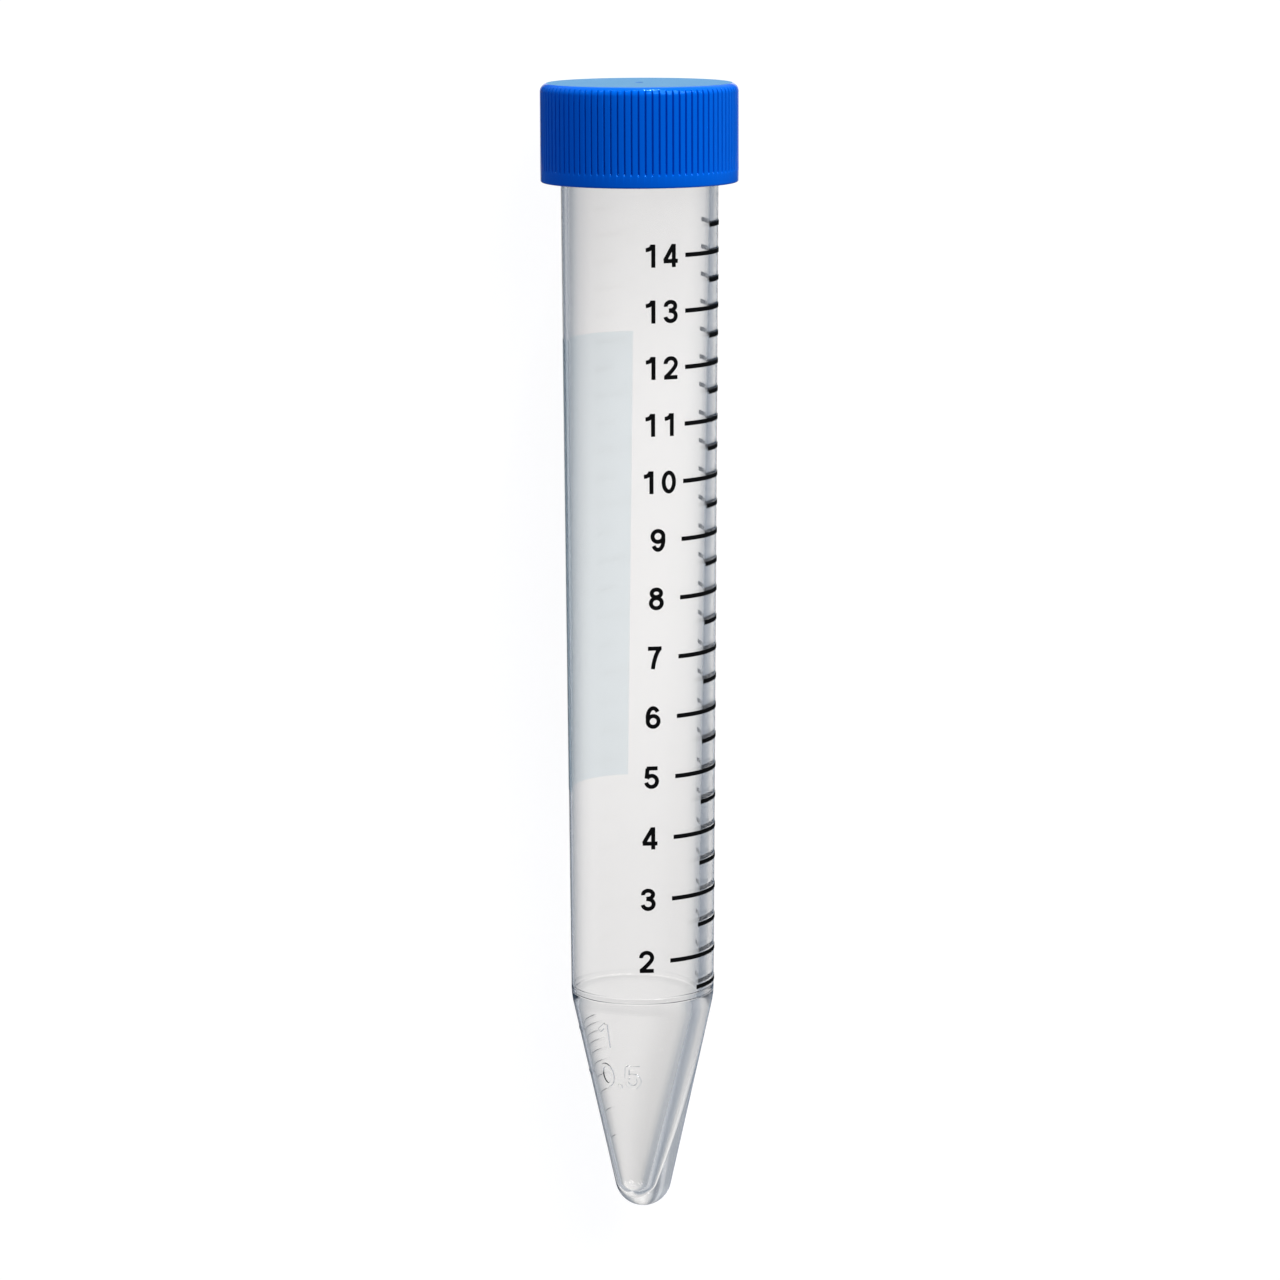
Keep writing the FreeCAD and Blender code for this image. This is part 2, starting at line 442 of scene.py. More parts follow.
def figure_solids(text, drawings, height, nib_corners):
    """Figures as one flat solid that faces up, its middle on the origin."""
    whole = None
    start = 0
    for letter in text:
        for stroke in drawings[letter]:
            points = [((x + start) * height, (z - 0.5) * height) for x, z in stroke]
            bar = stroke_solid(points, nib_corners)
            if whole is None:
                whole = bar
            else:
                union(whole, bar)
        start += POINT_ADVANCE if letter == "." else ADVANCE
    whole.data.transform(Matrix.Translation((-start / 2 * height, 0, 0)))
    return whole


# %% [markdown]
# ## Wrapping a flat drawing on the wall
# A flat drawing bends only where it has edges, so it is first cut into narrow upright strips with bisect.
# Then each of its points is moved in code: across becomes round the wall, up stays up, and what stood off
# the drawing stands off the wall.

# %% The wrap
STRIP = 0.2 * MM


def wrap(piece, azimuth_degrees, height, wall):
    """Bends a flat drawing on to the wall, its middle at an azimuth and a height."""
    only(piece)
    left = min(vertex.co.x for vertex in piece.data.vertices)
    right = max(vertex.co.x for vertex in piece.data.vertices)
    bpy.ops.object.mode_set(mode="EDIT")
    for cut in range(1, math.ceil((right - left) / STRIP)):
        bpy.ops.mesh.select_all(action="SELECT")
        bpy.ops.mesh.bisect(plane_co=(left + cut * STRIP, 0, 0), plane_no=(1, 0, 0))
    bpy.ops.object.mode_set(mode="OBJECT")
    for vertex in piece.data.vertices:
        across, up, off = vertex.co
        angle = math.radians(azimuth_degrees) + across / wall.radius(height)
        reach = wall.radius(height + up) + off
        vertex.co = (reach * math.sin(angle), -reach * math.cos(angle), height + up)
    return piece


# %% [markdown]
# ## Print round the wall
# A mark is part of a thin ring: a small upright rectangle on the wall's surface, spun through its angle.
# The black print is drawn with a film of air under it, far thinner than the ink. In full touch with the
# plastic, every mark would be mirrored in the thick of the wall as a second black one, where the mirrored
# mark on a real tube is only grey. The patch is in touch all over.

# %% A band round the wall
INK = 0.04 * MM
AIR_FILM = 0.003 * MM
BAND_STEP_DEGREES = 1.4


def round_band(name, section, start, end):
    """Spins a closed section, given as radius and height, between two azimuths in degrees."""
    piece = start_point(name, (section[0][0], 0, section[0][1]))
    for radius, height in section[1:]:
        line_to(radius, height)
    bpy.ops.mesh.select_all(action="SELECT")
    bpy.ops.mesh.edge_face_add()
    bpy.ops.transform.rotate(
        value=-math.radians(start - 90), orient_axis="Z", center_override=(0, 0, 0)
    )
    spin_round(max(2, round((end - start) / BAND_STEP_DEGREES)), end - start)
    close_up()
    return piece


def printed_section(low, high, under, rows):
    """Section of a layer of ink that starts a little under or over the wall's skin."""
    heights = [low + (high - low) * row / rows for row in range(rows + 1)]
    inner = [(outside.radius(height) + under, height) for height in heights]
    outer = [(outside.radius(height) + under + INK, height) for height in heights]
    return inner[:1] + outer + inner[:0:-1]


# %% [markdown]
# ## The scale as printed
# Whole millilitres get long marks, halves get short ones.
# The print is a little askew, so it stands further round to the side towards the top.
# A shift and a stretch set its marks up to 0.3 mm off the heights worked out above. They were fitted until
# the marks showed where the real tube's do, and may also make up for errors of the bore and the camera.

# %% The marks
MARK_TALL = 0.46 * MM
LONG_START, SHORT_START, MARK_END = 30.3, 57.0, 111.0
SCALE_SKEW = 0.209 / MM
SCALE_MIDDLE, SKEW_TOP = 66.5 * MM, 88 * MM
PRINT_SHIFT, PRINT_STRETCH = 0.138 * MM, -0.000037 / MM


def skew(height):
    """How far the print is turned at a height, in degrees."""
    return SCALE_SKEW * (min(height, SKEW_TOP) - SCALE_MIDDLE)


def printed_height(volume_ml):
    """Where the print has the mark of a volume."""
    height = mark_height(volume_ml)
    return height + PRINT_SHIFT + PRINT_STRETCH * height**2


print_parts = []
for half_ml in range(3, 30):
    height = printed_height(half_ml / 2)
    start = SHORT_START if half_ml % 2 else LONG_START
    section = printed_section(height - MARK_TALL / 2, height + MARK_TALL / 2, AIR_FILM, rows=1)
    print_parts.append(
        round_band("mark", section, start + skew(height), MARK_END + skew(height))
    )
print("printed marks:", len(print_parts))

# %% [markdown]
# ## The figures of the scale
# A figure stands at the start of every long mark. The figures are as thick as the marks, and lie on the same
# film of air. They are drawn flat, wrapped on the wall, and joined with the marks as one print.

# %% The figures of the scale
FIGURE_HEIGHT = 2.4 * MM
PEN = 0.18 * FIGURE_HEIGHT
FIGURE_AZIMUTH = 12.0
ink_nib = [
    (-PEN / 2, AIR_FILM), (PEN / 2, AIR_FILM), (PEN / 2, AIR_FILM + INK), (-PEN / 2, AIR_FILM + INK),
]
for millilitres in range(2, 15):
    height = printed_height(millilitres)
    figures = figure_solids(str(millilitres), FIGURES, FIGURE_HEIGHT, ink_nib)
    print_parts.append(wrap(figures, FIGURE_AZIMUTH + skew(height), height, outside))


def joined(name, parts):
    """Several meshes as one piece."""
    bpy.ops.object.select_all(action="DESELECT")
    for part in parts:
        part.select_set(True)
    bpy.context.view_layer.objects.active = parts[0]
    bpy.ops.object.join()
    parts[0].name = name
    return parts[0]


printed_scale = joined("printed_scale", print_parts)
print("printed scale faces:", len(printed_scale.data.polygons))

# %% [markdown]
# ## The writing patch
# A white matte field to write on is printed on the other side. It is a band like the marks, only tall, and
# its sides are a little askew.

# %% The patch
PATCH_LOW, PATCH_HIGH = 46.3 * MM, 94.65 * MM
PATCH_START, PATCH_END = -173.3, -73.8
PATCH_SKEW = math.radians(-0.081) / MM
writing_patch = round_band(
    "writing_patch", printed_section(PATCH_LOW, PATCH_HIGH, -INK / 2, rows=24), PATCH_START, PATCH_END
)
for vertex in writing_patch.data.vertices:
    turn = Matrix.Rotation(PATCH_SKEW * (vertex.co.z - (PATCH_LOW + PATCH_HIGH) / 2), 3, "Z")
    vertex.co = turn @ vertex.co
print("patch faces:", len(writing_patch.data.polygons))

# %% [markdown]
# ## Moulded marks on the cone
# Below 1.5 ml nothing is printed, and the cone has a fine raised scale instead.
# Its marks stand only a few hundredths of a millimetre off the wall, and their sides slope so that they leave
# the mould. They could be a bump in the material, but in clear plastic only a real ridge bends the light.
# They are bands like the printed ones, and become one skin with the wall by a union.
# Their drop and squeeze were fitted in the same way: they stand 1.4 to 1.8 mm under the heights worked out.

# %% Raised marks
SUNK = 0.1 * MM
MOULD_DROP, MOULD_SQUEEZE, SQUEEZE_FROM = 1.4 * MM, 0.08, 17 * MM
SHORT_TICK, LONG_TICK, TOP_TICK = (-140, -96), (-145, -70), (-131, -70)


def raised_nib(base, top, tall):
    """Half-sunk section of a ridge with sloping sides: across and up."""
    return [
        (-base / 2, -SUNK), (base / 2, -SUNK), (base / 2, 0), (top / 2, tall), (-top / 2, tall),
        (-base / 2, 0),
    ]


raised_parts = []
ridge = raised_nib(base=0.26 * MM, top=0.08 * MM, tall=0.04 * MM)
for tenth in range(1, 11):
    height = mark_height(tenth / 10)
    height -= MOULD_DROP + MOULD_SQUEEZE * max(0, height - SQUEEZE_FROM)
    start, end = {5: LONG_TICK, 10: TOP_TICK}.get(tenth, SHORT_TICK)
    section = [
        (outside.radius(height + across) + up, height + across)
        for across, up in ridge
    ]
    raised_parts.append(round_band("tick", section, start, end))
print("raised marks:", len(raised_parts))

# %% [markdown]
# ## Moulded figures on the cone
# The figures 1 and 0.5 are drawn with the same pen as the print, with a nib that has sloping sides.
# They are a little wider than the printed ones, and the 1 has a straight flag.

# %% Raised figures
MOULDED_HEIGHT, MOULDED_WIDE = 2.7 * MM, 1.07
# What each one says, its azimuth in degrees and its height.
MOULDED_TEXTS = (("1", -33.5, 20.4 * MM), ("0.5", -24, 15.8 * MM))
moulded_nib = raised_nib(base=0.5 * MM, top=0.34 * MM, tall=0.11 * MM)
for text, azimuth, height in MOULDED_TEXTS:
    figures = figure_solids(text, MOULDED_FIGURES, MOULDED_HEIGHT, moulded_nib)
    figures.data.transform(Matrix.Diagonal((MOULDED_WIDE, 1, 1, 1)))
    raised_parts.append(wrap(figures, azimuth, height, outside))
for part in raised_parts:
    union(tube_body, part)
print("tube faces with the raised scale:", len(tube_body.data.polygons))

# %% [markdown]
# ## The cap
# The cap is a blue moulding with a flat top, a rounded edge, ninety fine ribs and a plain band below them.
# Inside it has a skirt for the thread and a plug ring that seals the bore.
# The ribs repeat every four degrees, so one slice of the cap is modelled and copied round. Cutting ninety
# grooves with Booleans would give the same shape, with far worse faces.
# The half section goes from the middle of the top round the outside and back inside to the axis.

# %% The cap's half section
RIBS = 90
EDGE_ROUND = 0.93 * MM
GATE_RADIUS = 0.43 * MM
GATE_DEPTH = 0.15 * MM
SKIRT_BORE = 9.25 * MM
SKIRT_CHAMFER = 0.45 * MM
UNDERSIDE = TUBE_LENGTH + 0.08 * MM
PLUG_DEPTH = 2.6 * MM
PLUG_WALL = 0.85 * MM
PLUG_CHAMFER = 0.35 * MM
PLUG_RADIUS = bore.radius(TUBE_LENGTH - PLUG_DEPTH) - 0.1 * MM
RIM_EDGE = 0.2 * MM
BAND = 1.25 * MM
RUNOUT = 0.3 * MM
GROOVE_DEPTH = 0.26 * MM

cap_body = start_point("cap_body", (0, 0, CAP_END - GATE_DEPTH))
line_to(GATE_RADIUS, CAP_END - GATE_DEPTH)
line_to(GATE_RADIUS, CAP_END)
line_to(CAP_RADIUS - EDGE_ROUND, CAP_END, parts=3)
arc_about(CAP_RADIUS - EDGE_ROUND, CAP_END - EDGE_ROUND, -90, 16)
line_to(CAP_RADIUS, CAP_BOTTOM + BAND + RUNOUT, parts=4)
line_to(CAP_RADIUS, CAP_BOTTOM + BAND, parts=3)
line_to(CAP_RADIUS, CAP_BOTTOM + RIM_EDGE)
arc_about(CAP_RADIUS - RIM_EDGE, CAP_BOTTOM + RIM_EDGE, -90, 4)
line_to(SKIRT_BORE + SKIRT_CHAMFER, CAP_BOTTOM)
line_to(SKIRT_BORE, CAP_BOTTOM + SKIRT_CHAMFER)
line_to(SKIRT_BORE, UNDERSIDE, parts=3)
line_to(PLUG_RADIUS, UNDERSIDE)
line_to(PLUG_RADIUS, UNDERSIDE - PLUG_DEPTH + PLUG_CHAMFER)
line_to(PLUG_RADIUS - PLUG_CHAMFER, UNDERSIDE - PLUG_DEPTH)
line_to(PLUG_RADIUS - PLUG_WALL, UNDERSIDE - PLUG_DEPTH)
line_to(PLUG_RADIUS - PLUG_WALL, UNDERSIDE)
line_to(0, UNDERSIDE)
print("half section points:", len(bmesh.from_edit_mesh(cap_body.data).verts))

# %% [markdown]
# ## One slice of the cap
# The half section is spun in uneven steps: wide ones for the rib, narrow ones for the flanks of the groove.
# The points in the groove's columns then move in towards the axis. Above the band they do so by degrees, so
# that the groove runs out there.

# %% One slice, a rib and a groove
RIB_TURN = 360 / RIBS
# Widths of the columns, in shares of the slice, and how deep in the groove each column ends.
columns = (0.35, 0.35, 0.12, 0.38, 0.2, 0.2, 0.38, 0.12, 0.95, 0.95)
share = RIB_TURN / sum(columns)
depths = (0, 0, 0.06, 0.92, 1, 0.92, 0.06, 0, 0, 0)
groove_depth = {}
turned = 0
bpy.ops.mesh.select_all(action="SELECT")
for column, depth in zip(columns, depths):
    bpy.ops.mesh.spin(
        steps=1, angle=math.radians(column * share), center=(0, 0, 0), axis=(0, 0, -1)
    )
    turned += column * share
    groove_depth[round(turned, 3)] = depth * GROOVE_DEPTH
print("groove columns, degrees:", groove_depth)

groove_foot = CAP_BOTTOM + BAND
mesh = bmesh.from_edit_mesh(cap_body.data)
for vertex in mesh.verts:
    radius = math.hypot(vertex.co.x, vertex.co.y)
    azimuth = round(math.degrees(math.atan2(vertex.co.y, vertex.co.x)), 3)
    depth = groove_depth.get(azimuth, 0)
    outer = radius > CAP_RADIUS - GROOVE_DEPTH and vertex.co.z > groove_foot
    if outer and depth:
        climb = min(1, (vertex.co.z - groove_foot) / RUNOUT)
        wanted = CAP_RADIUS - depth * climb
        if wanted < radius:
            vertex.co.x *= wanted / radius
            vertex.co.y *= wanted / radius
bmesh.update_edit_mesh(cap_body.data)

# %% [markdown]
# ## Ninety slices
# Each copy has its own mesh, turned by one rib more than the last. An Array modifier could turn the copies
# and close the seams as well, but needs a helper object that holds the turn.

# %% Copies all round
bpy.ops.object.mode_set(mode="OBJECT")
slices = [cap_body]
for number in range(1, RIBS):
    copy = cap_body.copy()
    copy.data = cap_body.data.copy()
    copy.data.transform(Matrix.Rotation(math.radians(number * RIB_TURN), 4, "Z"))
    bpy.context.scene.collection.objects.link(copy)
    slices.append(copy)
cap_body = joined("cap_body", slices)
bpy.ops.object.mode_set(mode="EDIT")
close_up()
print("cap faces:", len(cap_body.data.polygons))

# %% [markdown]
# ## Threads
# The tube's neck has one and a half turns of thread, and the cap's skirt has the thread that runs on it.
# Both are hidden while the cap is on, and show when it is lifted off.
# A small section and the Screw modifier make a helix. Its crest sinks into the wall at both ends, and this
# lead-in lets a cap start easily. A union makes it one skin with its wall.

# %% A thread
PITCH = 3 * MM
THREAD_HALF = 0.75 * MM
THREAD_ROOTED = 0.15 * MM
CREST_SUNK = 0.05 * MM
THREAD_STEPS = 96
LEAD_IN = math.radians(25)


def thread(name, root, crest, foot, turns, start_degrees):
    """A helical ridge between two radii, with ends that sink into its wall."""
    side = 1 if crest > root else -1
    piece = start_point(name, (root - side * THREAD_ROOTED, 0, foot - THREAD_HALF))
    line_to(root, foot - THREAD_HALF)
    line_to(crest, foot - THREAD_HALF * 0.45)
    line_to(crest, foot + THREAD_HALF * 0.3)
    line_to(root, foot + THREAD_HALF * 0.8)
    line_to(root - side * THREAD_ROOTED, foot + THREAD_HALF * 0.8)
    bpy.ops.mesh.select_all(action="SELECT")
    bpy.ops.mesh.edge_face_add()
    bpy.ops.mesh.delete(type="ONLY_FACE")
    bpy.ops.object.mode_set(mode="OBJECT")
    modify(
        piece, "SCREW", angle=turns * math.tau, screw_offset=turns * PITCH,
        steps=int(THREAD_STEPS * turns), render_steps=int(THREAD_STEPS * turns),
        use_merge_vertices=False,
    )
    for vertex in piece.data.vertices:
        radius = math.hypot(vertex.co.x, vertex.co.y)
        along_turn = (vertex.co.z - foot) / PITCH * math.tau
        ends = min(along_turn, turns * math.tau - along_turn)
        if abs(radius - crest) < SAME:
            share_left = 1 - max(0, min(1, ends / LEAD_IN))
            factor = (crest + (root - side * CREST_SUNK - crest) * share_left) / radius
            vertex.co.x *= factor
            vertex.co.y *= factor
    only(piece)
    bpy.ops.object.mode_set(mode="EDIT")
    bpy.ops.mesh.select_all(action="DESELECT")
    bpy.ops.mesh.select_non_manifold()
    bpy.ops.mesh.edge_face_add()
    close_up()
    piece.data.transform(Matrix.Rotation(math.radians(start_degrees), 4, "Z"))
    return piece


# %% The thread of the neck and of the cap
neck_thread = thread(
    "neck_thread", root=RIM_RADIUS - 0.02 * MM, crest=8.85 * MM, foot=113.2 * MM, turns=1.5,
    start_degrees=20,
)
print("thread faces:", len(neck_thread.data.polygons))
union(tube_body, neck_thread)
cap_thread = thread(
    "cap_thread", root=SKIRT_BORE, crest=8.92 * MM, foot=113.4 * MM, turns=1.4, start_degrees=200
)
union(cap_body, cap_thread)
print("tube and cap faces:", len(tube_body.data.polygons), len(cap_body.data.polygons))


# %% [markdown]
# ## Smooth skins
# Round skins are shaded smooth, and edges sharper than an angle stay crisp. Clear plastic needs a small
# angle, or the shading of a low ridge smears into the wall around it.
# After that each piece goes to its place on the bench, and its mesh keeps that place.

# %% Shading and place
def finish_skin(piece, degrees):
    """Smooth shading with crisp edges, then the place on the bench."""
    only(piece)
    bpy.ops.object.shade_smooth_by_angle(angle=math.radians(degrees))
    lay_down(piece)


for piece, degrees in ((tube_body, 16), (printed_scale, 30), (writing_patch, 30), (cap_body, 32)):
    finish_skin(piece, degrees)
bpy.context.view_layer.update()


# %% [markdown]
# ## Materials
# Each material is a Principled surface. Its index is usual for the plastic or ink, and its roughness was
# chosen by its look. A pattern on Object coordinates, scaled in millimetres, keeps it from being quite even.

# %% Helpers for materials
def colour(code):
    """An sRGB hex code as the linear colour that shaders take."""
    values = [int(code[i:i + 2], 16) / 255 for i in (0, 2, 4)]
    return tuple(v / 12.92 if v <= 0.04045 else ((v + 0.055) / 1.055) ** 2.4 for v in values) + (1,)


def new_material(name):
    """An empty material and its node tree."""
    material = bpy.data.materials.new(name)
    material.use_nodes = True
    material.node_tree.nodes.clear()
    return material, material.node_tree


def node(tree, kind, settings=None, links=None):
    """Adds a node: its properties and sockets are set by name or number, and its inputs are linked."""
    made = tree.nodes.new(kind)
    for name, value in (settings or {}).items():
        if isinstance(name, str) and hasattr(made, name):
            setattr(made, name, value)
        else:
            made.inputs[name].default_value = value
    for name, socket in (links or {}).items():
        tree.links.new(socket, made.inputs[name])
    return made


# %% [markdown]
# ## Clear polypropylene
# The tube is moulded of a clear grade of polypropylene, in a polished mould. The eye sees a clear wall with
# soft reflections, and a slight haze, since the plastic is never as clear as glass.
# Three percent of the surface therefore scatters light, the roughness drifts over a few millimetres, and the
# wall has the shallow ripples of a moulding that shrank as it cooled.

# %% The tube's plastic
tube_plastic, tree = new_material("clear_polypropylene")
spot = node(tree, "ShaderNodeTexCoord").outputs["Object"]
haze = node(tree, "ShaderNodeTexNoise", {"Scale": 1 / (3 * MM), "Detail": 3.0}, {"Vector": spot})
rough = node(
    tree, "ShaderNodeMapRange", {"To Min": 0.04, "To Max": 0.07}, {"Value": haze.outputs["Fac"]}
)
ripple = node(tree, "ShaderNodeTexNoise", {"Scale": 1 / (6 * MM), "Detail": 1.0}, {"Vector": spot})
bump = node(
    tree, "ShaderNodeBump", {"Strength": 0.03, "Distance": 0.2 * MM}, {"Height": ripple.outputs["Fac"]}
)
skin = node(
    tree, "ShaderNodeBsdfPrincipled",
    {"Base Color": colour("FFFEFD"), "IOR": 1.49, "Transmission Weight": 0.97},
    {"Roughness": rough.outputs["Result"], "Normal": bump.outputs["Normal"]},
)
node(tree, "ShaderNodeOutputMaterial", links={"Surface": skin.outputs["BSDF"]})
print("material:", tube_plastic.name)

# %% [markdown]
# ## Blue polypropylene
# The cap is coloured through. Its sides are smooth: the eye sees a deep blue with a satin gloss. Their
# reflections are tinted blue, which was chosen by its look.
# Its top is dull, as if from a blasted mould. Its blue is written darker than the sides' blue, which is
# painted shade against the strip lamp and the spark that light the top strongly. The sheen makes it paler at
# a flat angle. The size of its grain is a guess.


# %% The cap's plastic
def blue_polypropylene(name, code, rough_low, rough_high, grain_size, grain_depth, sheen):
    """Solid blue plastic with the roughness and the grain that its mould gives it."""
    material, tree = new_material(name)
    spot = node(tree, "ShaderNodeTexCoord").outputs["Object"]
    grain = node(tree, "ShaderNodeTexNoise", {"Scale": 1 / grain_size, "Detail": 2.0}, {"Vector": spot})
    rough = node(
        tree, "ShaderNodeMapRange", {"To Min": rough_low, "To Max": rough_high},
        {"Value": grain.outputs["Fac"]},
    )
    bump = node(
        tree, "ShaderNodeBump", {"Strength": 1.0, "Distance": grain_depth},
        {"Height": grain.outputs["Fac"]},
    )
    skin = node(
        tree, "ShaderNodeBsdfPrincipled",
        {
            "Base Color": colour(code), "IOR": 1.49, "Specular IOR Level": 0.35,
            "Specular Tint": colour("4AB4FF"), "Sheen Weight": sheen, "Sheen Roughness": 0.5,
            "Sheen Tint": colour("A8E0E0"),
        },
        {"Roughness": rough.outputs["Result"], "Normal": bump.outputs["Normal"]},
    )
    node(tree, "ShaderNodeOutputMaterial", links={"Surface": skin.outputs["BSDF"]})
    return material


satin_blue = blue_polypropylene(
    "satin_blue_polypropylene", "005ECC", rough_low=0.09, rough_high=0.13,
    grain_size=0.15 * MM, grain_depth=0.0006 * MM, sheen=0.0,
)
# The top's blue is darker than the sides' blue: painted shade that offsets the lamps on the top.
matte_painted_shade_blue = blue_polypropylene(
    "matte_painted_shade_blue_polypropylene", "0E5494", rough_low=0.5, rough_high=0.6,
    grain_size=0.12 * MM, grain_depth=0.01 * MM, sheen=0.88,
)
print("materials:", satin_blue.name, matte_painted_shade_blue.name)

# %% [markdown]
# ## Printing inks
# The black ink is full of soot: the eye sees an even, dull black, with hardly any shine.
# The white ink of the patch is thin. From inside the tube it looks like frosted glass with a cool tint, as
# most of the light from behind goes through it. A very slight uneven gloss is the dried film of the ink.


# %% The inks
def printing_ink(name, code, specular, transmission, rough_low, rough_high):
    """Matte ink with a fine uneven gloss."""
    material, tree = new_material(name)
    spot = node(tree, "ShaderNodeTexCoord").outputs["Object"]
    grain = node(tree, "ShaderNodeTexNoise", {"Scale": 1 / (0.2 * MM), "Detail": 2.0}, {"Vector": spot})
    rough = node(
        tree, "ShaderNodeMapRange", {"To Min": rough_low, "To Max": rough_high},
        {"Value": grain.outputs["Fac"]},
    )
    skin = node(
        tree, "ShaderNodeBsdfPrincipled",
        {
            "Base Color": colour(code), "IOR": 1.5, "Specular IOR Level": specular,
            "Transmission Weight": transmission,
        },
        {"Roughness": rough.outputs["Result"]},
    )
    node(tree, "ShaderNodeOutputMaterial", links={"Surface": skin.outputs["BSDF"]})
    return material


scale_ink = printing_ink(
    "matte_black_ink", "050505", specular=0.1, transmission=0.0, rough_low=0.75, rough_high=0.9
)
patch_ink = printing_ink(
    "matte_white_ink", "F5FCFF", specular=0.5, transmission=0.985, rough_low=0.06, rough_high=0.1
)
print("materials:", scale_ink.name, patch_ink.name)

# %% [markdown]
# ## A material for each piece
# A curve that became a mesh can bring an empty material slot along, so the slots are cleared first.

# %% Materials on the pieces
for piece, material in (
    (tube_body, tube_plastic), (cap_body, satin_blue),
    (printed_scale, scale_ink), (writing_patch, patch_ink),
):
    piece.data.materials.clear()
    piece.data.materials.append(material)
    print(piece.name, "is of", material.name)

# %% [markdown]
# ## The cap's matte top
# Only the flat of the top has the grain, and the darker blue that is painted shade. Its faces are found
# by their normal and their height along the cap, and take the second material.

# %% Faces of the matte top
cap_axis = PLACE.to_3x3() @ Vector((0, 0, 1))
top_level = (PLACE @ Vector((0, 0, CAP_END - 0.5 * EDGE_ROUND))).dot(cap_axis)
cap_body.data.materials.append(matte_painted_shade_blue)
for face in cap_body.data.polygons:
    if face.normal.dot(cap_axis) > 0.95 and face.center.dot(cap_axis) > top_level:
        face.material_index = 1
print("matte faces:", sum(face.material_index for face in cap_body.data.polygons))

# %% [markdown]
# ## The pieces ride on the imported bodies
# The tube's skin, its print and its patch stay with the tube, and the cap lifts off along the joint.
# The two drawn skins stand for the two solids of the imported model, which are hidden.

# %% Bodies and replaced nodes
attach(tube_body, "tube")
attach(printed_scale, "tube")
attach(writing_patch, "tube")
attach(cap_body, "cap")
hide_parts("tube")
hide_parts("screw_cap")
print("pieces:", [piece.name for piece in (tube_body, printed_scale, writing_patch, cap_body)])

# %% [markdown]
# ## The bench
# The tube lies on a plain white bench. The bench takes the object's soft shadow, and glows just enough to be
# white for the camera. Clear plastic has no colour of its own and shows what is behind it, so for rays that
# were bent or reflected the bench is left out, and they see the studio's panels instead.

# %% The bench
BENCH_WIDE = 8.0
bpy.ops.object.select_all(action="DESELECT")
bpy.ops.mesh.primitive_plane_add(size=BENCH_WIDE)
floor = bpy.context.object
floor.name = "floor"
print("bench across, m:", BENCH_WIDE)

# %% The bench's paint
FLOOR_GLOW = 0.84
floor_paint, tree = new_material("pale_floor")
spot = node(tree, "ShaderNodeTexCoord").outputs["Object"]
grain = node(tree, "ShaderNodeTexNoise", {"Scale": 1 / (0.5 * MM), "Detail": 2.0}, {"Vector": spot})
tone = node(
    tree, "ShaderNodeMix", {"data_type": "RGBA", 6: colour("E4E4E4"), 7: colour("E8E8E8")},
    {0: grain.outputs["Fac"]},
)
path = node(tree, "ShaderNodeLightPath")
dull = node(tree, "ShaderNodeBsdfDiffuse", links={"Color": tone.outputs[2]})
lit = node(tree, "ShaderNodeEmission", {"Strength": 1.13})
glow = node(
    tree, "ShaderNodeMath", {"operation": "MULTIPLY", 1: FLOOR_GLOW}, {0: path.outputs["Is Camera Ray"]}
)
paint = node(tree, "ShaderNodeMixShader", links={0: glow.outputs[0], 1: dull.outputs[0], 2: lit.outputs[0]})
in_plastic = node(
    tree, "ShaderNodeMath", {"operation": "MAXIMUM"},
    {0: path.outputs["Is Glossy Ray"], 1: path.outputs["Is Transmission Ray"]},
)
clear = node(tree, "ShaderNodeBsdfTransparent")
whole = node(
    tree, "ShaderNodeMixShader", links={0: in_plastic.outputs[0], 1: paint.outputs[0], 2: clear.outputs[0]}
)
node(tree, "ShaderNodeOutputMaterial", links={"Surface": whole.outputs[0]})
floor_paint.cycles.emission_sampling = "NONE"
floor.data.materials.append(floor_paint)
print("bench glow:", FLOOR_GLOW)

# %% [markdown]
# ## The studio's panels
# A studio lights clear plastic from behind: a bright panel straight behind it, and grey ones to the sides
# that draw its edges. Here the world is those panels. One ramp gives their colour across the tube, by the
# angle from straight behind it, and one along it. Reflections see them dimmer than rays that went
# through, as the panels stand behind the object and the room in front is darker.
# Matte surfaces are lit by a plain bluish room. Without that split, the cap's blue would turn grey.
# The stops weren't laid out as in a real studio, but fitted. A ray was traced through the wall for each place
# across the tube, and the stops were moved until the wall was about as bright there as the real one. So they
# hold for this camera, and from other sides they match nothing that is known.

# %% Colours of the panels
PANEL_LIGHT = 1.06
ROOM = "69759A"
DIM = "A4A9B0"
# Degrees to the side from straight behind the tube, and the colour of the panels there.
ACROSS = (
    (-180, DIM), (-112, DIM), (-98, "CCCFD3"), (-70, "C8CCD1"), (-50, "B2B8C0"), (-38, "B0B6BE"),
    (-33, "D4D8DC"), (-28, "CDD2D8"), (-24, "9DA3AB"), (-18, "8D939B"), (-15, "B3B8BD"), (-12, "CDD0D3"),
    (-9, "DCDDDF"), (-6, "E4E4E5"), (-3, "F3F3F3"), (0, "FCFCFC"), (5, "FDFDFD"), (9, "F7F7F7"),
    (12, "F4F4F4"), (15, "F0F0F0"), (18, "EBECEC"), (21, "DCDDDE"), (24, "D3D5D7"), (28, "B9BEC4"),
    (38, "A6ADB6"), (46, "939BA5"), (55, "A8AFB8"), (70, "C8CCD1"), (98, "CCCFD3"), (112, DIM),
    (180, DIM),
)
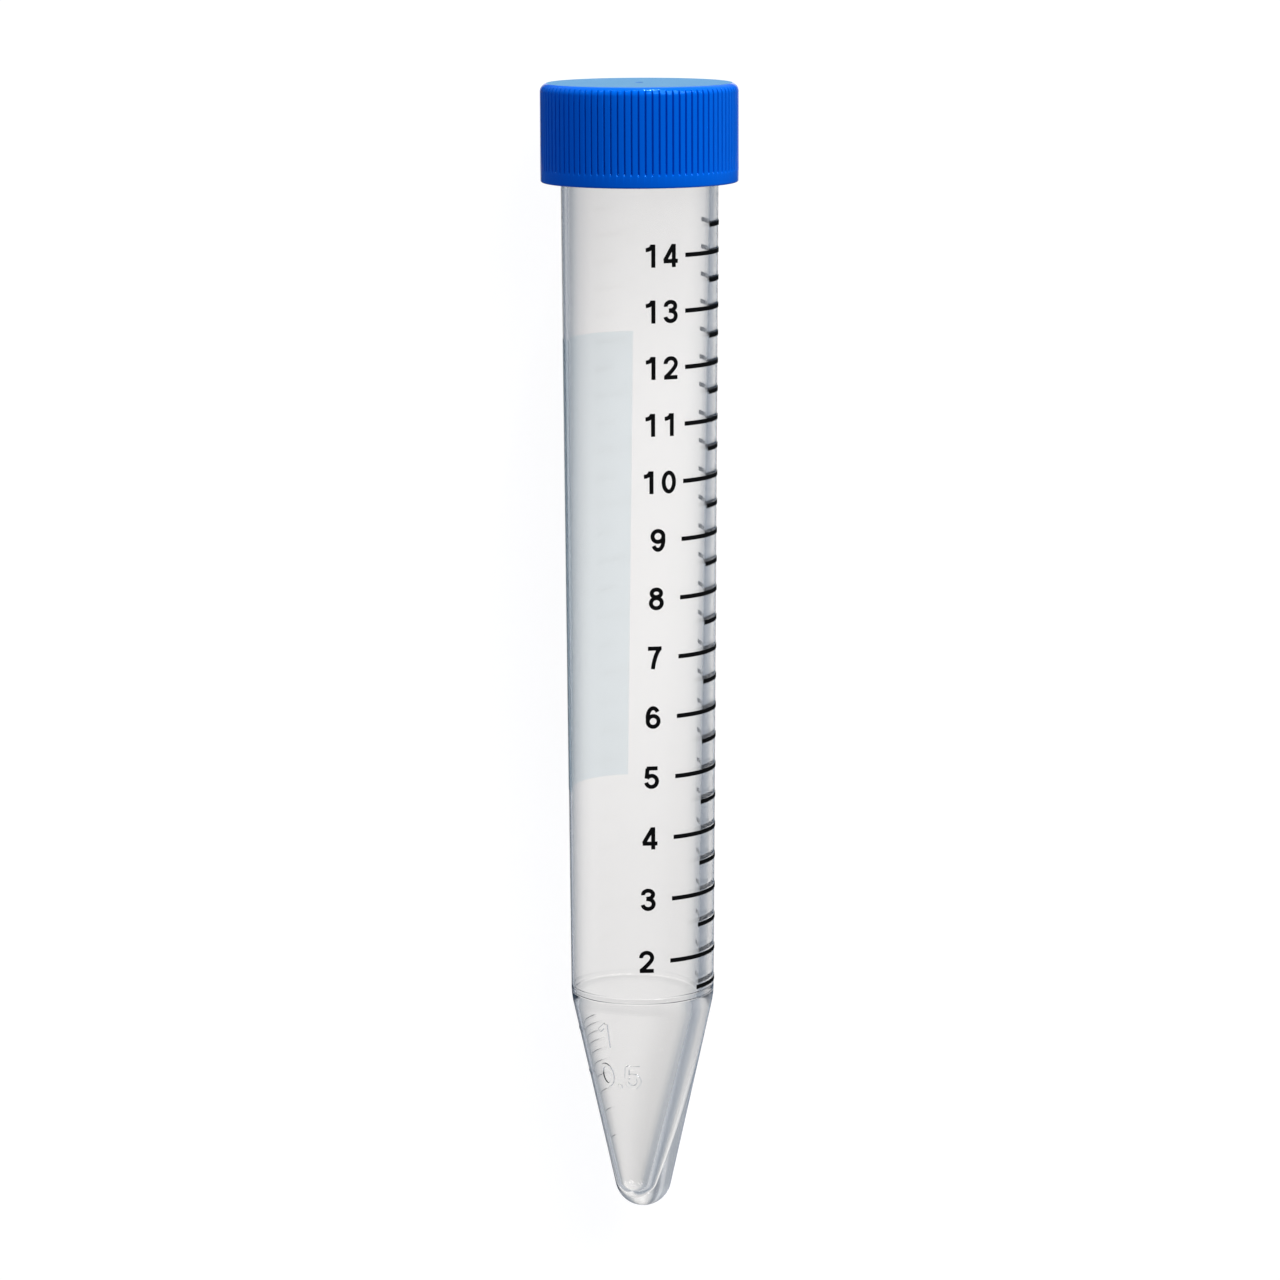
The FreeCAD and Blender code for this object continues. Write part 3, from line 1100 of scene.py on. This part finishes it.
# Share of a ray that points along the tube, and how much of the panels it sees.
ALONG = (
    (-1, "FFFFFF"), (-0.45, "FFFFFF"), (-0.3, "E8E8E8"), (-0.28, "E6E6E6"), (-0.262, "EBEBEB"),
    (-0.25, "F2F2F2"), (-0.205, "F5F5F5"), (-0.19, "F7F7F7"), (-0.15, "FFFFFF"), (-0.09, "FFFFFF"),
    (-0.05, "F0F0F0"), (0.05, "EEEEEE"), (0.3, "FFFFFF"), (1, "FFFFFF"),
)
# For reflections: share of a ray that points up, and share that points along the tube.
MIRRORED_DOWN = ((-1, "FFFFFF"), (-0.985, "FFFFFF"), (-0.94, "000000"), (1, "000000"))
MIRRORED_ALONG = (
    (-1, "BCBCBC"), (-0.6, "BCBCBC"), (-0.35, "4C6C8C"), (0.25, "4C6C8C"), (0.6, "BCBCBC"),
    (1, "BCBCBC"),
)
print("panel stops:", len(ACROSS), len(ALONG))

# %% The panels as a world
world = bpy.data.worlds.new("studio")
bpy.context.scene.world = world
world.use_nodes = True
world.cycles.sampling_method = "NONE"
tree = world.node_tree
tree.nodes.clear()
path = node(tree, "ShaderNodeLightPath")
way = node(tree, "ShaderNodeSeparateXYZ", links={0: node(tree, "ShaderNodeTexCoord").outputs["Generated"]})
down = node(tree, "ShaderNodeMath", {"operation": "MULTIPLY", 1: -1.0}, {0: way.outputs["Z"]})
side = node(tree, "ShaderNodeMath", {"operation": "ARCTAN2"}, {0: way.outputs["X"], 1: down.outputs[0]})
panels = []
for value, reach, stops in (
    (side.outputs[0], math.pi, ACROSS), (way.outputs["Y"], 1, ALONG),
    (way.outputs["Z"], 1, MIRRORED_DOWN), (way.outputs["Y"], 1, MIRRORED_ALONG),
):
    level = node(
        tree, "ShaderNodeMapRange", {"From Min": -reach, "From Max": reach}, {"Value": value}
    )
    panel = node(tree, "ShaderNodeValToRGB", links={0: level.outputs["Result"]})
    ramp = panel.color_ramp.elements
    while len(ramp) < len(stops):
        ramp.new(1.0)
    for stop, (at, code) in zip(ramp, stops):
        stop.position = at / (2 * stops[-1][0]) + 0.5
        stop.color = colour(code)
    panels.append(panel.outputs["Color"])
through = node(
    tree, "ShaderNodeMix",
    {"data_type": "RGBA", "blend_type": "MULTIPLY", 0: 1.0}, {6: panels[0], 7: panels[1]},
)
shine = node(
    tree, "ShaderNodeMix",
    {"data_type": "RGBA", "blend_type": "LIGHTEN", 0: 1.0}, {6: panels[2], 7: panels[3]},
)
mirrored = node(
    tree, "ShaderNodeMix",
    {"data_type": "RGBA", "blend_type": "MULTIPLY", 0: 1.0}, {6: panels[0], 7: shine.outputs[2]},
)
scenery = node(
    tree, "ShaderNodeMix", {"data_type": "RGBA", 6: colour(ROOM)},
    {0: path.outputs["Is Glossy Ray"], 7: mirrored.outputs[2]},
)
scenery = node(
    tree, "ShaderNodeMix", {"data_type": "RGBA"},
    {0: path.outputs["Is Transmission Ray"], 6: scenery.outputs[2], 7: through.outputs[2]},
)
view = node(
    tree, "ShaderNodeMix", {"data_type": "RGBA", 7: (1, 1, 1, 1)},
    {0: path.outputs["Is Camera Ray"], 6: scenery.outputs[2]},
)
sky = node(tree, "ShaderNodeBackground", {"Strength": PANEL_LIGHT}, {"Color": view.outputs[2]})
node(tree, "ShaderNodeOutputWorld", links={"Surface": sky.outputs[0]})
print("world:", world.name)

# %% [markdown]
# ## The lamps
# A soft square lamp over the right shoulder models the ribs. A long low strip beyond the cap lights its top
# and puts a point of light on the end of every groove, and a small lamp beside it adds a spark on the edge.


# %% Lamps
def area_lamp(name, direction, distance, size, watts):
    """A lamp, wide and tall as given, that looks at the middle of the object."""
    middle = (cad_box[0] + cad_box[1]) / 2
    lamp = bpy.data.lights.new(name, "AREA")
    lamp.shape = "RECTANGLE"
    lamp.size, lamp.size_y = size
    lamp.energy = watts
    holder = bpy.data.objects.new(name, lamp)
    away = Vector(direction).normalized()
    holder.location = middle + away * distance
    holder.rotation_mode = "QUATERNION"
    holder.rotation_quaternion = (-away).to_track_quat("-Z", "Y")
    bpy.context.scene.collection.objects.link(holder)


area_lamp("soft_key", (0.6, 0.9, 0.78), 0.9, (0.6, 0.6), 6.9)
area_lamp("strip_beyond_the_cap", (0.12, 1.0, 0.3), 0.9, (3.0, 0.04), 5)
area_lamp("spark", (0.13, 1.0, 0.1), 0.9, (0.03, 0.015), 5)
print("lamps:", [lamp.name for lamp in bpy.data.lights])

# %% [markdown]
# ## The camera
# A long lens half a metre away looks at the middle of the scale, a little from the side of the cap, so that
# the cap's top is just seen. Its place is worked out upright, like the pieces, and laid down with them.
# Its numbers were fitted until the outline and the marks stood in the view as the real tube's do.

# %% Camera
LOOK_AT = Vector((-0.14 * MM, 0, 62.37 * MM))
DISTANCE = 490.3 * MM
LOOK_DOWN = math.radians(9.88)
ROLL = math.radians(-0.22)
LENS_MM, SENSOR_MM = 129.29, 36
NEAREST = 10 * MM
forward = Vector((0, math.cos(LOOK_DOWN), -math.sin(LOOK_DOWN)))
up = Vector((0, math.sin(LOOK_DOWN), math.cos(LOOK_DOWN)))
turn = Matrix((Vector((1, 0, 0)), up, -forward)).transposed().to_4x4()
eye = LOOK_AT - forward * DISTANCE
lens = bpy.data.cameras.new("camera")
lens.sensor_width = SENSOR_MM
lens.lens = LENS_MM
lens.clip_start = NEAREST
camera = bpy.data.objects.new("camera", lens)
camera.matrix_world = PLACE @ Matrix.Translation(eye) @ turn @ Matrix.Rotation(ROLL, 4, "Z")
bpy.context.scene.collection.objects.link(camera)
bpy.context.scene.camera = camera
bpy.context.scene.view_settings.view_transform = "Standard"
print("camera at, mm:", [round(value / MM, 1) for value in camera.matrix_world.translation])
